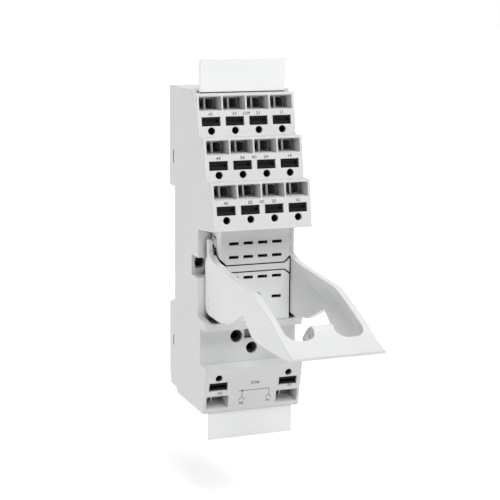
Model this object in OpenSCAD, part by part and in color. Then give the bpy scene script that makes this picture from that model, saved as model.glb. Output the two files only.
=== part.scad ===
// Four-pole push-in relay socket for a 35 mm rail, with its retaining clip.
// Width runs along X, the rail is behind (+Y), height is Z.
// The origin is the middle of the rail seat. Side outlines are drawn as [Y, Z].

/* [Body] */
// width over the side walls
body_w = 31; // [28:0.5:35]
// space between a side of the housing and the cells of its outer terminals
column_margin = 0.5; // [0.3:0.05:0.6]
// top face above the middle of the rail
top_z = 49; // [48.7:0.1:50]
// how much lower the front strip of the top is
top_step = 0.8; // [0.5:0.1:1]
// where that strip begins
top_step_y = -16.4; // [-16.9:0.1:-16]
// underside below the middle of the rail
base_z = -47.7; // [-48.2:0.1:-47.5]
// rear faces, on the panel side of the rail lips
back_y = 4.6; // [4.5:0.1:5.2]
// side wall thickness
side_wall = 0.9; // [0.8:0.05:0.9]
// front wall thickness at the terminals
front_wall = 8; // [7.8:0.1:8.1]
// thickness of the small shelves between the terminal rows
shelf = 1.5; // [1.3:0.1:1.6]
// thickness of the floor under the third row
row_floor = 0.7; // [0.6:0.05:0.8]
// thickness of the ribs between the terminal columns
rib = 0.8; // [0.6:0.1:0.8]

/* [Terminal rows] */
// depth of the first row's top edge
row_y = -20.4; // [-20.6:0.1:-20.2]
// height from one row to the next
row_pitch = 12.3; // [12.2:0.1:12.5]
// how far each row stands in front of the one above
row_step = 6.65; // [6.5:0.05:6.8]
// backward lean of the terminal faces, in degrees
face_lean = 9.3; // [9:0.1:9.6]
// lower edge of the third row's face
last_row_z = 9.6; // [9.3:0.1:9.8]
// wire entry centre below the row's top edge, along the face
wire_at = 2.85; // [2.8:0.05:2.95]
// release button centre below the row's top edge
button_at = 8.15; // [8.1:0.05:8.25]
// test hole centre below the row's top edge
probe_at = 10.95; // [10.9:0.05:11.05]
// test hole diameter
probe_d = 2.2; // [2:0.1:2.3]

/* [Wire entries] */
// wall between neighbouring wire entries
entry_wall = 0.5; // [0.4:0.05:0.7]
// height of a wire entry at the face
entry_h = 4.3; // [4.2:0.05:4.35]
// corner radius of a wire entry
entry_r = 0.4; // [0.3:0.1:0.8]
// depth of a wire entry
entry_depth = 6.2; // [6:0.1:6.5]
// height of a wire entry at its floor
entry_floor_h = 3.2; // [3:0.1:3.3]
// how much the floor's middle lies above the middle of the mouth
entry_rise = 0.45; // [0.3:0.05:0.5]
// wall between the two wire holes of an entry
hole_wall = 0.65; // [0.6:0.05:0.8]
// height of a wire hole
wire_hole_h = 2.75; // [2.5:0.05:2.8]
// corner radius of a wire hole
wire_hole_r = 0.7; // [0.5:0.1:0.9]
// widest diameter of the lead-in cone round a wire hole
lead_in_d = 3.9; // [3.6:0.1:4.1]
// depth of the lead-in cone
lead_in_depth = 0.7; // [0.5:0.1:0.9]
// height of the small rib between the two wire holes
web_h = 0.9; // [0.7:0.1:1.4]
// thickness of that rib
web_t = 0.65; // [0.55:0.05:0.7]

/* [Release buttons] */
// wall between neighbouring button slots
button_wall = 1.65; // [1.5:0.05:1.8]
// slot height for a release button
button_h = 2.7; // [2.6:0.05:2.75]
// clearance between a button and its slot, all round
button_gap = 0.06; // [0.04:0.01:0.1]
// how far a button lies below the face
button_set = 0.6; // [0.5:0.05:0.8]
// how far a button goes in
button_travel = 1.6; // [1.4:0.1:1.7]
// depth of a button behind the front wall
button_tail = 2.6; // [2.5:0.1:2.8]
// edge left beside the tool slot in a button
tool_side = 0.4; // [0.35:0.05:0.6]
// tool slot in the button: height
tool_h = 1; // [0.8:0.1:1.1]
// tool slot in the button: depth
tool_depth = 1.2; // [0.8:0.1:1.5]

/* [Relay bay] */
// rear wall of the bay, in front of the rail
bay_y = -22.35; // [-22.6:0.05:-22.2]
// top of the bay at its rear wall
bay_top_z = 8.2; // [8:0.1:8.4]
// ledge under the bay: height at its rear
ledge_z = -18.45; // [-18.7:0.05:-18.3]
// ledge under the bay: front edge
ledge_y = -29.9; // [-30.1:0.05:-29.9]
// how much the ledge's front edge lies lower than its rear
ledge_fall = 0.85; // [0.7:0.05:1]
// front face of the contact block
block_y = -29.8; // [-30:0.1:-29.7]
// side wall thickness of the contact block
block_wall = 2.1; // [2:0.05:2.2]
// thickness of the two contact covers
cover_t = 1.6; // [1.5:0.1:1.8]
// upper contact cover: top edge
upper_cover_z = 8.6; // [8.4:0.1:8.7]
// upper contact cover: lower edge
upper_cover_low = -1.65; // [-1.7:0.05:-1.6]
// lower contact cover: upper edge
lower_cover_z = -4.2; // [-4.25:0.05:-4.15]
// lower contact cover: lower edge
lower_cover_low = -19.25; // [-19.3:0.05:-19.2]
// height of the bar between the covers
bar_h = 1.8; // [1.7:0.05:1.9]
// how the two ends of that bar spread, across and up
bar_flare = [1.55, 1.2];
// corner cut on the upper cover, across and up
corner_cut = [1.8, 1.75];
// corner cut on the lower cover, across and down
low_corner_cut = [1.7, 1.4];
// depth of the slots behind the cut corners
corner_slot_d = 1.4; // [1.2:0.1:1.8]
// side notch in the bay wall: upper edge
notch_z = -0.4; // [-0.6:0.1:-0.2]
// side notch in the bay wall: height
notch_h = 6.2; // [6:0.1:6.4]
// side notch in the bay wall: floor
notch_y = -16.4; // [-16.8:0.1:-16]
// hole in the notch floor
notch_hole_d = 3.3; // [3:0.1:3.4]
// distance of that hole from the side of the housing
notch_hole_in = 2.6; // [2.5:0.05:2.7]
// height of that hole
notch_hole_z = -3.1; // [-3.2:0.05:-3]
// arm slot in the ledge: depth
ledge_slot_d = 1.2; // [1:0.1:1.4]
// arm slot in the ledge: front to rear
ledge_slot_l = 5.9; // [5.5:0.1:6]

/* [Blade slots] */
// width of a blade slot
blade_w = 3; // [2.9:0.05:3.1]
// height of a blade slot
blade_h = 0.9; // [0.85:0.05:1]
// space between the outer blade slots and the block's side walls
blade_side = 0.545; // [0.5:0.005:0.6]
// distance from one pole to the next
pole_pitch = 4.57; // [4.5:0.01:4.6]
// blade row heights: common, open, closed, coil
blade_z = [-5.74, 0.57, 4.69, -12.08];

/* [Module recess] */
// ceiling of the recess under the ledge
recess_z = -21.9; // [-22:0.05:-21.8]
// rear wall of the recess
recess_y = -24.4; // [-24.6:0.1:-24.2]
// floor of the recess
recess_low = -32.95; // [-33.1:0.05:-32.8]
// first round socket: across and height
port_1 = [-3.81, -24.94];
// second round socket: across and height
port_2 = [1.12, -28.93];
// first round socket: diameter
port_1_d = 3.9; // [3.8:0.05:4]
// second round socket: diameter
port_2_d = 3.6; // [3.55:0.05:3.7]
// square socket: left, right, lower and upper edge
port_key = [-1.3, 1.7, -25.8, -22.5];
// depth of the square socket
port_key_d = 1.5; // [1.2:0.1:1.6]
// depth of the round sockets in front of their contacts
port_lip = 2.2; // [2:0.1:2.6]
// length of the tubes round those sockets, behind the wall
port_tube_l = 6; // [5:0.5:7]

/* [Base block] */
// depth of the base block's upper front edge
base_y = -30.3; // [-30.5:0.1:-30.1]
// height of that edge
base_top = -33.1; // [-33.2:0.05:-33]
// depth of the base block's lower front edge
base_low_y = -27.4; // [-27.6:0.1:-27.2]
// height of that edge
base_low_z = -47; // [-47.1:0.1:-46.9]

/* [Rail seat] */
// width of the rail
rail_w = 35; // [35:0.1:35.2]
// thickness of the rail's lips
rail_t = 1; // [1:0.05:1.1]
// room above the rail's upper edge
rail_gap = 0.55; // [0.5:0.05:0.7]
// floor of the rail notch
seat_y = -0.2; // [-0.3:0.05:-0.1]
// width of the fixed hook
hook_w = 18; // [16:0.5:19]
// how far the fixed hook reaches over the rail's lip
hook_reach = 1.9; // [1.6:0.1:2.1]
// clearance behind the rail's lips
lip_gap = 0.3; // [0.25:0.05:0.35]
// width of the rail latch
latch_w = 11.8; // [11.4:0.1:12]
// thickness of the rail latch
latch_t = 2; // [1.8:0.1:2]
// lower end of the rail latch
latch_low = -50.6; // [-51:0.1:-50.4]
// how far the latch's nose reaches over the rail's lip
nose_reach = 1.9; // [1.7:0.1:2]
// clearance of the latch in its guide
latch_gap = 0.08; // [0.05:0.01:0.1]
// travel of the rail latch
latch_travel = 3; // [2.8:0.1:3]

/* [Retaining clip] */
// gap between an arm and the contact block
clip_gap = 0.4; // [0.35:0.05:0.5]
// thickness of an arm
arm_t = 1.9; // [1.8:0.05:1.95]
// pivot: depth
pivot_y = -24.9; // [-25:0.05:-24.8]
// pivot: height
pivot_z = 4.6; // [4.5:0.1:4.7]
// pivot stub diameter
pivot_d = 1.6; // [1.5:0.05:1.7]
// running clearance round the pivot stubs
pivot_gap = 0.06; // [0.04:0.01:0.08]
// length of a pivot stub
stub_l = 1.8; // [1.6:0.05:1.9]
// radius of the tongue round the pivot
tongue_r = 1; // [0.95:0.05:1.05]
// radius of the thinned part of the arm round the pivot
thin_r = 4.2; // [3.8:0.1:4.4]
// how much thinner the arm is there
thin_d = 0.8; // [0.7:0.05:0.9]
// radius of the boss round the pivot on the contact block
boss_r = 1.7; // [1.5:0.05:1.9]
// height of that boss
boss_h = 0.6; // [0.5:0.05:0.7]
// front edge of the finger plate: depth
plate_y = -91.1; // [-91.6:0.1:-90.6]
// front edge of the finger plate: height
plate_z = -14.2; // [-14.4:0.1:-14]
// thickness of the finger plate's front edge
plate_t = 0.8; // [0.7:0.05:1]
// depth of the two round notches in the plate
notch_edge_y = -83.5; // [-83.8:0.1:-83.3]
// corner radius of those notches
plate_r = 3.4; // [3:0.1:3.6]
// width of the middle hump
hump_w = 6; // [5.8:0.1:6.4]

/* [Markers] */
// how far a marker plate ends inside the housing's side
marker_in = 2; // [1.8:0.1:2.4]
// thickness of a marker plate
marker_t = 1; // [0.9:0.05:1]
// depth of the upper marker's front face
top_marker_y = -18.2; // [-18.3:0.05:-18.1]
// upper edge of the upper marker
top_marker_z = 58.2; // [57.8:0.1:58.6]
// depth of the lower marker's front face
low_marker_y = -26.7; // [-26.75:0.05:-26.65]
// lower edge of the lower marker
low_marker_z = -56.1; // [-56.5:0.1:-55.7]
// width of the lower marker's tabs
tab_w = 2.4; // [2.2:0.1:2.6]
// length of the lower marker's tabs
tab_l = 1.1; // [0.9:0.05:1.15]
// how far the upper marker's foot stands in its groove
foot_l = 0.7; // [0.6:0.05:0.75]
// how far that foot stands back from the marker's front
foot_in = 0.55; // [0.5:0.05:0.6]
// gap between the upper marker's front and the strip under it
marker_gap = 0.35; // [0.3:0.05:0.4]

/* [Contacts] */
// thickness of the contact strips
strip_t = 0.7; // [0.6:0.05:0.8]
// width of the contact strips
strip_w = 2.6; // [2.4:0.1:2.7]
// space between neighbouring clamping plates
clamp_space = 1.5; // [1.4:0.1:1.7]
// thickness of the clamp springs
spring_t = 0.35; // [0.3:0.05:0.4]
// slit between the two legs of a clamp spring
spring_slit = 0.6; // [0.5:0.1:0.8]
// gap between the two leaves of a blade contact
leaf_gap = 0.5; // [0.4:0.05:0.6]
// thickness of those leaves
leaf_t = 0.35; // [0.3:0.05:0.4]
// depth of the upright strips: common, open, closed, coil
strip_y = [-4, -7.5, -11, -9];

/* [Hidden] */
$fn = 32;
eps = 0.01;

shell_color = [0.82, 0.83, 0.83];
clip_color = [0.9, 0.91, 0.91];
marker_color = [0.95, 0.96, 0.96];
button_color = [0.11, 0.11, 0.12];
copper_color = [0.78, 0.63, 0.42];
steel_color = [0.72, 0.73, 0.75];

// terminal columns
column_pitch = (body_w - 2 * column_margin) / 4;
entry_w = column_pitch - entry_wall;
wire_pitch = (entry_w - 0.1) / 2;
wire_hole_w = wire_pitch - hole_wall;
button_w = column_pitch - button_wall;
tool_w = button_w - 2 * button_gap - 2 * tool_side;
clamp_w = column_pitch - clamp_space;
marker_w = body_w - 2 * marker_in;

// contact block and clip
block_w = 3 * pole_pitch + blade_w + 2 * (blade_side + block_wall);
clip_w = block_w + 2 * (clip_gap + arm_t);
notch_hole_x = body_w / 2 - notch_hole_in;

// terminal rows
row_z = top_z - top_step;
lean_run = tan(face_lean);
function row_at(r) = [row_y - r * row_step, row_z - r * row_pitch];
function row_foot(r, z) = [row_at(r)[0] - (row_at(r)[1] - z) * lean_run, z];

// base block face
base_lean = atan2(base_low_y - base_y, base_top - base_low_z);
function base_face(z) = [base_low_y - (z - base_low_z) * tan(base_lean), z];

// terminals 0 to 11 fill the three rows from the left, 12 and 13 are in the base
function in_base(i) = i > 11;
function term_row(i) = in_base(i) ? 3 : floor(i / 4);
function term_x(i) = in_base(i) ? (i == 12 ? -1.5 : 1.5) * column_pitch : (i % 4 - 1.5) * column_pitch;
function pole_x(i) = in_base(i) ? (i == 12 ? -1.5 : 1.5) * pole_pitch : (i % 4 - 1.5) * pole_pitch;
function term_lean(i) = in_base(i) ? base_lean : face_lean;
function term_at(i) = in_base(i) ? [base_low_y, base_low_z] : row_at(term_row(i));
function up(i) = in_base(i) ? -1 : 1;
// a point of the side view from its depth and height at a terminal's face
function spot(i, y, z) = [
    term_at(i)[0] + y * cos(term_lean(i)) + z * sin(term_lean(i)),
    term_at(i)[1] + up(i) * (z * cos(term_lean(i)) - y * sin(term_lean(i)))];

module at_terminal(i) {
    translate([term_x(i), term_at(i)[0], term_at(i)[1]])
        mirror([0, 0, in_base(i) ? 1 : 0])
            rotate([-term_lean(i), 0, 0])
                children();
}

// rail seat
notch_top = rail_w / 2 + rail_gap;
notch_low = -rail_w / 2 - 0.2;
notch_low_back = notch_low - 1.7;
lip_y = rail_t + lip_gap;
inner_x = body_w / 2 - side_wall;
cover_x = inner_x - 0.1;
top_wall = 1.6;
base_wall = 1.2;
hold_x = block_w / 2 - block_wall;
block_back = block_y + cover_t;
cavity_floor = last_row_z + row_floor;
lower_roof = -20.4;
jog_z = 12.2;
bar_z = (upper_cover_low + lower_cover_z) / 2;
arm_x = clip_w / 2 - arm_t;

// bent strip helpers: a centre line in the side view gets a thickness
function unit(v) = v / norm(v);
function side(v) = [-v[1], v[0]];
function leg_side(p, i) = side(unit(p[i + 1] - p[i]));
function blend_side(a, b) = unit(a + b) / (unit(a + b) * a);
function turn(p, i) = i == 0 ? leg_side(p, 0)
    : i == len(p) - 1 ? leg_side(p, i - 1)
    : blend_side(leg_side(p, i - 1), leg_side(p, i));
function strip_outline(p, t) = concat(
    [for (i = [0 : len(p) - 1]) p[i] + turn(p, i) * t / 2],
    [for (i = [len(p) - 1 : -1 : 0]) p[i] - turn(p, i) * t / 2]);

// draws a side view outline across the width w, about x
module across(w, x = 0) {
    translate([x, 0, 0])
        rotate([90, 0, 90])
            linear_extrude(height = w, center = true)
                children();
}

module bent_strip(p, t, w, x = 0) {
    across(w, x)
        polygon(strip_outline(p, t));
}

// block from its two corners
module box(a, b) {
    translate(a)
        cube(b - a);
}

// rectangle with round corners
module round_rect(w, h, r) {
    square([w - 2 * r, h], center = true);
    square([w, h - 2 * r], center = true);
    for (x = [-1, 1], z = [-1, 1])
        translate([x * (w / 2 - r), z * (h / 2 - r)])
            circle(r = r, $fn = 16);
}

// hole or bar along Y, from depth a to depth b
module along_y(a, b) {
    translate([0, b, 0])
        rotate([90, 0, 0])
            linear_extrude(height = b - a)
                children();
}

module both_sides() {
    children();
    mirror([1, 0, 0])
        children();
}

// the same for a flat outline that starts at x = 0
module both_ways() {
    children();
    mirror([1, 0])
        children();
}

// ---------- housing ----------

module side_outline() {
    polygon([
        [back_y, top_z], [top_step_y, top_z], [top_step_y, row_z], row_at(0),
        row_foot(0, row_at(1)[1]), row_at(1),
        row_foot(1, row_at(2)[1]), row_at(2),
        row_foot(2, last_row_z), [bay_y, bay_top_z],
        [bay_y, ledge_z], [ledge_y, ledge_z - ledge_fall],
        [ledge_y + 0.8, recess_z + 0.2], [recess_y, recess_z],
        [recess_y, recess_low], [base_y, base_top],
        [base_low_y, base_low_z], [base_low_y + 0.5, base_z],
        [-2.3, base_z], [-2.3, base_z + base_wall], [0.6, -46], [3.9, -46],
        [back_y, -41.8], [back_y, notch_low_back], [seat_y, notch_low],
        [seat_y, notch_top], [back_y, notch_top]]);
}

module terminal_cavity() {
    polygon([
        [back_y + 1, top_z - top_wall], [row_y + front_wall, top_z - top_wall],
        row_foot(0, row_at(1)[1] - shelf) + [front_wall, 0],
        row_foot(1, row_at(1)[1] - shelf) + [front_wall, 0],
        row_foot(1, row_at(2)[1] - shelf) + [front_wall, 0],
        row_foot(2, row_at(2)[1] - shelf) + [front_wall, 0],
        row_foot(2, cavity_floor) + [front_wall, 0],
        [back_y + 1, cavity_floor]]);
}

module base_cavity() {
    polygon([
        [recess_y + 2, lower_roof], [back_y + 1, lower_roof], [back_y + 1, base_z + base_wall],
        base_face(base_z + base_wall) + [front_wall, 0],
        base_face(base_top - 1.6) + [front_wall, 0], [recess_y + 2, base_top - 1.6]]);
}

module contact_block() {
    across(block_w)
        polygon([[bay_y + 1, cavity_floor], [block_back, cavity_floor],
            [block_back, recess_z + 0.4], [bay_y + 1, recess_z + 0.4]]);
    // bosses round the clip's pivot
    both_sides()
        translate([hold_x, pivot_y, pivot_z])
            rotate([0, 90, 0])
                cylinder(h = block_wall + boss_h, r = boss_r);
}

// bar between the two covers, with spread ends
module cover_bar() {
    along_y(block_y - 0.1, block_back + corner_slot_d)
        both_ways()
            polygon([[0, bar_z - bar_h / 2], [block_w / 2 - bar_flare[0], bar_z - bar_h / 2],
                [block_w / 2, bar_z - bar_h / 2 - bar_flare[1]],
                [block_w / 2, bar_z + bar_h / 2 + bar_flare[1]],
                [block_w / 2 - bar_flare[0], bar_z + bar_h / 2], [0, bar_z + bar_h / 2]]);
}

// how much a wall of a wire entry draws in over one millimetre of depth
function taper(rise) = (entry_h / 2 - entry_floor_h / 2 - rise) / entry_depth;

module wire_entry() {
    difference() {
        intersection() {
            along_y(-1, entry_depth)
                round_rect(entry_w, entry_h + 0.1, entry_r);
            // upper and lower walls draw in towards the floor
            across(entry_w + 1)
                polygon([[-1, entry_h / 2 + taper(entry_rise)], [entry_depth, entry_rise + entry_floor_h / 2],
                    [entry_depth, entry_rise - entry_floor_h / 2], [-1, -entry_h / 2 - taper(-entry_rise)]]);
        }
        along_y(entry_depth - web_h, entry_depth + 1)
            square([web_t, entry_h + 1], center = true);
    }
    for (s = [-1, 1])
        translate([s * wire_pitch / 2, 0, entry_rise]) {
            along_y(entry_depth - 0.5, front_wall + 1)
                round_rect(wire_hole_w, wire_hole_h, wire_hole_r);
            intersection() {
                translate([0, entry_depth + lead_in_depth / 2, 0])
                    rotate([90, 0, 0])
                        cylinder(h = lead_in_depth, d1 = wire_hole_w - 0.4, d2 = lead_in_d);
                box([-wire_pitch / 2 + web_t / 2, 0, -3], [wire_pitch / 2 - web_t / 2, 12, 3]);
            }
        }
}

module terminal_openings(i) {
    at_terminal(i) {
        translate([0, 0, -wire_at])
            wire_entry();
        translate([0, 0, -button_at])
            along_y(-1, front_wall + 1)
                square([button_w, button_h], center = true);
        // test hole, as deep as the wall at this face
        translate([0, front_wall * cos(term_lean(i)) + 0.02, -probe_at])
            rotate([90, 0, 0])
                cylinder(h = front_wall + 1, d = probe_d);
    }
}

module bay_features() {
    both_sides() {
        // side notch with its hole
        box([block_w / 2 + 0.1, bay_y - 1, notch_z - notch_h], [body_w / 2 + 1, notch_y, notch_z]);
        translate([notch_hole_x, -13, notch_hole_z])
            rotate([90, 0, 0])
                cylinder(h = 4, d = notch_hole_d);
        box([notch_hole_x, -17, notch_hole_z - notch_hole_d / 2],
            [notch_hole_x + 1.4, -13, notch_hole_z + notch_hole_d / 2]);
        // slot under the clip's arm
        box([block_w / 2, bay_y - 0.6 - ledge_slot_l, ledge_z - ledge_slot_d],
            [clip_w / 2 + 0.15, bay_y - 0.6, ledge_z + 2]);
        // blind bore for the clip's pivot
        translate([hold_x + 0.2, pivot_y, pivot_z])
            rotate([0, 90, 0])
                cylinder(h = block_wall + boss_h, d = pivot_d + 2 * pivot_gap);
        // hollow behind the bay wall
        box([hold_x + 1.5, -14, -16], [inner_x, back_y + 1, 6]);
        // window for the rear cover's snap
        box([inner_x - 1, 0.5, 25.4], [body_w / 2 + 1, 1.5, 29.3]);
        box([inner_x - 1, 0.5, -33], [body_w / 2 + 1, 1.5, -29.6]);
    }
    // seat of the lower contact cover in the ledge
    box([-block_w / 2, block_y - 2, lower_cover_low], [block_w / 2, block_back, lower_cover_z - low_corner_cut[1]]);
}

module module_ports() {
    translate([port_1[0], recess_y + port_tube_l + 3, port_1[1]])
        rotate([90, 0, 0])
            cylinder(h = port_tube_l + 5, d = port_1_d);
    translate([port_2[0], recess_y + port_tube_l + 3, port_2[1]])
        rotate([90, 0, 0])
            cylinder(h = port_tube_l + 5, d = port_2_d);
    box([port_key[0], recess_y - 1, port_key[2]], [port_key[1], recess_y + port_key_d, port_key[3]]);
}

module port_tube(port, d) {
    translate([port[0], recess_y + 2 + port_tube_l, port[1]])
        rotate([90, 0, 0])
            cylinder(h = port_tube_l + 0.5, d = d + 1.6);
}

module marker_slots() {
    box([-marker_w / 2 - 0.1, top_marker_y + foot_in - 0.05, row_z - foot_l],
        [marker_w / 2 + 0.1, top_marker_y + marker_t + 0.05, row_z + 1]);
    for (x = [-column_pitch / 2, column_pitch / 2])
        translate([x, low_marker_y + marker_t / 2, base_z + tab_l / 2])
            cube([tab_w + 0.1, marker_t + 0.1, tab_l + 0.2], center = true);
}

module column_ribs() {
    for (x = [-column_pitch, 0, column_pitch])
        intersection() {
            across(rib, x)
                terminal_cavity();
            box([-20, -40, jog_z + 3], [20, -2.6, top_z]);
        }
    // ribs beside the two base terminals
    for (x = [-1, 1])
        box([x * (term_x(13) - column_pitch / 2) - rib / 2, base_low_y + front_wall - 1, base_z + 0.5],
            [x * (term_x(13) - column_pitch / 2) + rib / 2, -12, base_top - 1]);
}

module housing() {
    color(shell_color)
        difference() {
            union() {
                difference() {
                    union() {
                        across(body_w)
                            side_outline();
                        contact_block();
                    }
                    across(2 * inner_x)
                        terminal_cavity();
                    across(2 * inner_x)
                        base_cavity();
                    // slots behind the cut corners of the covers
                    both_sides()
                        box([hold_x - 1, block_back - 1, lower_cover_z - low_corner_cut[1]],
                            [block_w / 2 - 0.4, block_back + corner_slot_d, upper_cover_low + corner_cut[1]]);
                    // space behind the contact covers
                    box([-hold_x, block_back - 1, lower_roof], [hold_x, back_y + 1, upper_cover_z - 1.6]);
                    box([-hold_x, bay_y, lower_roof - eps], [hold_x, back_y + 1, cavity_floor + eps]);
                    // seat of the rear cover
                    box([-inner_x, seat_y - 1.9, lower_roof - eps], [inner_x, back_y + 1, cavity_floor + eps]);
                }
                column_ribs();
                port_tube(port_1, port_1_d);
                port_tube(port_2, port_2_d);
                cover_bar();
            }
            for (i = [0 : 13])
                terminal_openings(i);
            bay_features();
            module_ports();
            marker_slots();
        }
}

// ---------- covers ----------

module blade_slots(r, poles) {
    for (x = poles)
        box([x * pole_pitch - blade_w / 2, block_y - 1, blade_z[r] - blade_h / 2],
            [x * pole_pitch + blade_w / 2, block_back + 1, blade_z[r] + blade_h / 2]);
}

module upper_contact_cover() {
    color(shell_color)
        difference() {
            along_y(block_y, block_back)
                polygon([[-block_w / 2, upper_cover_z], [block_w / 2, upper_cover_z],
                    [block_w / 2, upper_cover_low + corner_cut[1]],
                    [block_w / 2 - corner_cut[0], upper_cover_low],
                    [-block_w / 2 + corner_cut[0], upper_cover_low],
                    [-block_w / 2, upper_cover_low + corner_cut[1]]]);
            blade_slots(1, [-1.5, -0.5, 0.5, 1.5]);
            blade_slots(2, [-1.5, -0.5, 0.5, 1.5]);
        }
}

module lower_contact_cover() {
    color(shell_color)
        difference() {
            along_y(block_y, block_back)
                polygon([[-block_w / 2 + low_corner_cut[0], lower_cover_z],
                    [block_w / 2 - low_corner_cut[0], lower_cover_z],
                    [block_w / 2, lower_cover_z - low_corner_cut[1]], [block_w / 2, lower_cover_low],
                    [-block_w / 2, lower_cover_low], [-block_w / 2, lower_cover_z - low_corner_cut[1]]]);
            blade_slots(0, [-1.5, -0.5, 0.5, 1.5]);
            blade_slots(3, [-1.5, 1.5]);
        }
}

module rear_cover() {
    color(shell_color)
        difference() {
            union() {
                across(2 * cover_x)
                    polygon([
                        [back_y, top_z - top_wall - 0.1], [back_y, notch_top], [seat_y, notch_top],
                        [seat_y, notch_low], [back_y, notch_low_back], [back_y, -41.8],
                        [3.9, -46], [0.6, -46], [-2.2, base_z + base_wall + 0.1],
                        [-2.2, -44.6], [2.8, -44.6], [2.8, notch_low_back - 1.4],
                        [seat_y - 1.8, notch_low - 1.6],
                        [seat_y - 1.8, notch_top + 1.5], [2.8, notch_top + 1.5],
                        [2.8, top_z - top_wall - 0.1]]);
                // fixed hook behind the rail's upper lip
                box([-hook_w / 2, lip_y, rail_w / 2 - hook_reach], [hook_w / 2, lip_y + 2.2, notch_top + 1]);
                // guide for the rail latch
                box([-latch_w / 2 - 1.6, -1, -45], [latch_w / 2 + 1.6, 3, notch_low - 1]);
                // snaps
                both_sides() {
                    box([inner_x - 1.6, 0.6, 25.6], [cover_x, 3, 29.1]);
                    box([inner_x - 0.2, 0.6, 25.6], [body_w / 2 - 0.3, 1.4, 29.1]);
                    box([inner_x - 1.6, 0.6, -32.8], [cover_x, 3, -29.8]);
                    box([inner_x - 0.2, 0.6, -32.8], [body_w / 2 - 0.3, 1.4, -29.8]);
                }
            }
            difference() {
                box([-latch_w / 2 - latch_gap, lip_y - latch_gap, -60],
                    [latch_w / 2 + latch_gap, lip_y + latch_t + latch_gap, notch_low + 3]);
                // stop that carries the latch's spring
                box([-1.7, 0, -40.7], [1.7, 4, -38.8]);
            }
        }
}

module rail_latch() {
    color(shell_color)
        difference() {
            across(latch_w)
                polygon([[lip_y, -rail_w / 2 + nose_reach], [lip_y + 0.6, -rail_w / 2 + nose_reach],
                    [lip_y + latch_t, -rail_w / 2 + 0.6], [lip_y + latch_t, latch_low],
                    [lip_y, latch_low]]);
            // window for the spring
            box([-2.1, 0, -41], [2.1, 4, -27]);
            // tool slot
            box([-2.5, 0, latch_low + 1.2], [2.5, 4, latch_low + 3]);
        }
}

module latch_spring() {
    color(steel_color)
        translate([0, lip_y + latch_t / 2 + 0.4, 0])
            rotate([90, 0, 0])
                linear_extrude(height = 0.8)
                    polygon(strip_outline([
                        [-1.3, -38.6], [1.1, -38.6], [1.3, -37.9], [-1.3, -36.6], [1.3, -34.9],
                        [-1.3, -33.2], [1.3, -31.5], [-1.3, -29.8], [-1.3, -28.2], [-1.1, -27.2],
                        [1.3, -27.2]], 0.4));
}

// ---------- markers ----------

module top_marker() {
    color(marker_color) {
        box([-marker_w / 2, top_marker_y, row_z + marker_gap], [marker_w / 2, top_marker_y + marker_t, top_marker_z]);
        box([-marker_w / 2, top_marker_y + foot_in, row_z - foot_l],
            [marker_w / 2, top_marker_y + marker_t, row_z + marker_gap + 1]);
    }
}

module bottom_marker() {
    color(marker_color) {
        box([-marker_w / 2, low_marker_y, low_marker_z], [marker_w / 2, low_marker_y + marker_t, base_z]);
        for (x = [-column_pitch / 2, column_pitch / 2])
            box([x - tab_w / 2, low_marker_y, base_z - 1], [x + tab_w / 2, low_marker_y + marker_t, base_z + tab_l]);
    }
}

// ---------- retaining clip ----------

module arm_outline() {
    translate([pivot_y, pivot_z])
        circle(r = tongue_r);
    polygon([
        [pivot_y + tongue_r, pivot_z], [pivot_y + tongue_r, -0.6],
        [bay_y - 0.35, -1.7], [bay_y - 0.35, -14.6], [bay_y - 0.8, -16.1], [bay_y - 1.9, -17],
        [bay_y - 4, -17.4], [-33, -17.5], [-36, -17.4], [-42.9, -16.4], [-48.6, -13.8], [-54.6, -10.9],
        [-57, -12.4], [-60, -14.7], [-61.6, -15.6], [-64, -16.1], [-71.5, -16.3], [-82, -15.9],
        [-88.4, -15.6], [plate_y + 0.2, plate_z - plate_t], [plate_y, plate_z],
        [-88, -13.4], [-85.2, -12.4], [-83.4, -11.6], [-82.1, -10.9], [-80.8, -10.15],
        [-78, -8.9], [-74.8, -7.6], [-64.2, -3.7], [-62.2, -3.1], [-60, -2.9], [-49.2, -2.3],
        [-37, -1.5], [-30.5, -0.5], [-28.2, 0.2], [-26.9, 1.1], [pivot_y - tongue_r, 2.4],
        [pivot_y - tongue_r, pivot_z]]);
}

// plan view of one of the plate's notches, about its middle
module notch_plan(w) {
    for (s = [-1, 1])
        translate([s * (w / 2 - plate_r), notch_edge_y + plate_r])
            circle(r = plate_r, $fn = 48);
    translate([-w / 2 + plate_r, notch_edge_y])
        square([w - 2 * plate_r, plate_r]);
    translate([-w / 2, notch_edge_y + plate_r])
        square([w, 8]);
}

module finger_plate() {
    gap = arm_x - hump_w / 2;
    difference() {
        across(clip_w)
            polygon([[plate_y, plate_z], [plate_y + 0.2, plate_z - plate_t], [-88, -13.4 - plate_t],
                [-85.2, -12.5 - plate_t], [-82.8, -12.4], [-79, -12], [-79, -9.35], [-80.8, -10.15],
                [-82.1, -10.9], [-83.4, -11.6], [-85.2, -12.4], [-88, -13.4]]);
        for (s = [-1, 1])
            translate([s * (arm_x - gap / 2), 0, -20])
                linear_extrude(height = 16)
                    notch_plan(gap);
    }
}

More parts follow.
